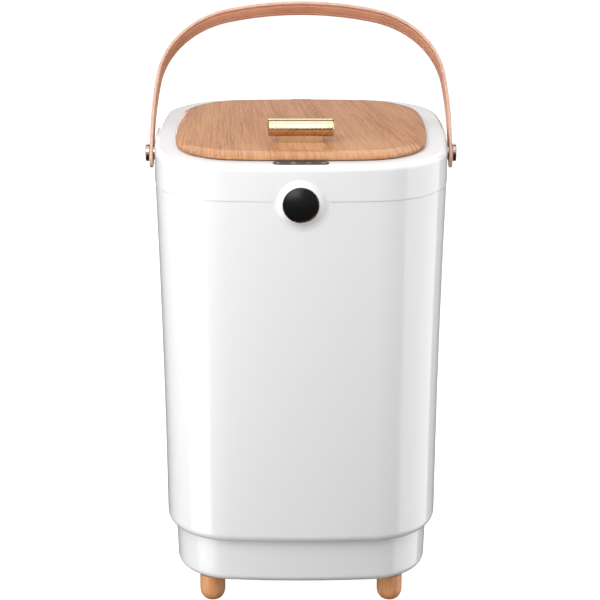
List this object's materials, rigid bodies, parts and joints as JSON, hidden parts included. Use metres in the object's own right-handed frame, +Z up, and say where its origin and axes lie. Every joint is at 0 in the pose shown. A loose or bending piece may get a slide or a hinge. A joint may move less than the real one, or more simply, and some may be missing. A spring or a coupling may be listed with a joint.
{
  "type": "trash compactor",
  "caption": "Bucket-shaped electric kitchen-waste compactor with a hinged wooden lid, a carrying bail, a round front display, a removable bucket with a crusher rotor and stub feet.",
  "frame": {"origin": "on the floor, under the centre of the body", "axes": "+X to the right seen from the front, +Y to the back, +Z up; the display faces -Y"},
  "size_m": [0.322, 0.2885, 0.5992],
  "materials": {
    "white_gloss": "gloss",
    "lid_wood": "lacquered, open grain",
    "foot_wood": "satin",
    "strap_tan": "satin",
    "brass": "polished",
    "dark_metal": "dark, polished",
    "black_glass": "gloss, opaque",
    "bronze_trim": "polished",
    "grey_strip": "gloss",
    "black_plastic": "matte",
    "grey_plastic": "matte",
    "seal_rubber": "matte",
    "harness_rubber": "matte",
    "circuit_board": "satin",
    "steel": "brushed",
    "aluminium": "satin",
    "bushing_brass": "satin",
    "carbon": "matte"
  },
  "bodies": {
    "housing": {"air_duct": "black_plastic", "base_housing": "white_gloss", "bearing_housing": "aluminium", "blower_housing": "black_plastic", "blower_motor": "steel", "bucket": "aluminium", "chamber_liner": "steel", "chassis_deck": "steel", "control_board": "circuit_board", "deck_posts": "steel", "display_bezel": "white_gloss", "display_board": "circuit_board", "display_lens": "black_glass", "display_ring": "bronze_trim", "exhaust_duct": "black_plastic", "filter_housing": "black_plastic", "front_left_foot": "foot_wood", "front_right_foot": "foot_wood", "gear_motor": "steel", "gearbox_plate": "steel", "heater_plate": "aluminium", "hinge_bracket": "steel", "hinge_pin": "steel", "housing_screws": "steel", "indicator_board": "circuit_board", "indicator_strip": "grey_strip", "lid_switch": "black_plastic", "lower_bushing": "bushing_brass", "outer_shell": "white_gloss", "pivot_bolts": "dark_metal", "pivot_nuts": "steel", "pivot_washers": "dark_metal", "plate_spacers": "steel", "power_inlet": "black_plastic", "rear_grille": "white_gloss", "rear_left_foot": "foot_wood", "rear_right_foot": "foot_wood", "rotor_seal": "seal_rubber", "shear_bars": "steel", "thermal_cutout": "aluminium", "top_collar": "white_gloss", "upper_bearing": "steel", "wire_harness": "harness_rubber"},
    "lid": {"lid_panel": "lid_wood", "lid_liner": "grey_plastic", "lid_gasket": "seal_rubber", "pull_bar": "brass", "pull_stem": "brass", "lid_screws": "steel", "hinge_leaf": "steel"},
    "bail": {"bail_strap": "strap_tan"},
    "rotor": {"crusher_rotor": "steel", "drive_coupling": "grey_plastic", "drive_shaft": "steel", "drive_gear": "steel"},
    "pinion": {"motor_pinion": "steel", "motor_shaft": "steel"},
    "impeller": {"blower_impeller": "black_plastic"},
    "filter_drawer": {"carbon_filter": "carbon", "filter_cover": "white_gloss"}
  },
  "joints": [
    {"name": "lid_hinge", "type": "hinge", "parent": "housing", "child": "lid", "pos_m": [0, 0.1285, 0.483], "axis": [-1, 0, 0], "range_deg": [0, 56]},
    {"name": "bail_pivot", "type": "hinge", "parent": "housing", "child": "bail", "pos_m": [0, 0, 0.4635], "axis": [1, 0, 0], "range_deg": [-70, 160]},
    {"name": "rotor_spin", "type": "hinge", "parent": "housing", "child": "rotor", "pos_m": [0, 0, 0.12], "axis": [0, 0, 1], "continuous": true},
    {"name": "pinion_spin", "type": "hinge", "parent": "housing", "child": "pinion", "pos_m": [0, -0.08, 0.12], "axis": [0, 0, 1], "continuous": true},
    {"name": "impeller_spin", "type": "hinge", "parent": "housing", "child": "impeller", "pos_m": [-0.075, -0.04, 0.05], "axis": [0, 0, 1], "continuous": true},
    {"name": "filter_slide", "type": "slide", "parent": "housing", "child": "filter_drawer", "axis": [0, 1, 0], "range_m": [0, 0.09]}
  ],
  "couplings": [
    {"joint": "pinion_spin", "follows": "rotor_spin", "ratio": -4}
  ]
}
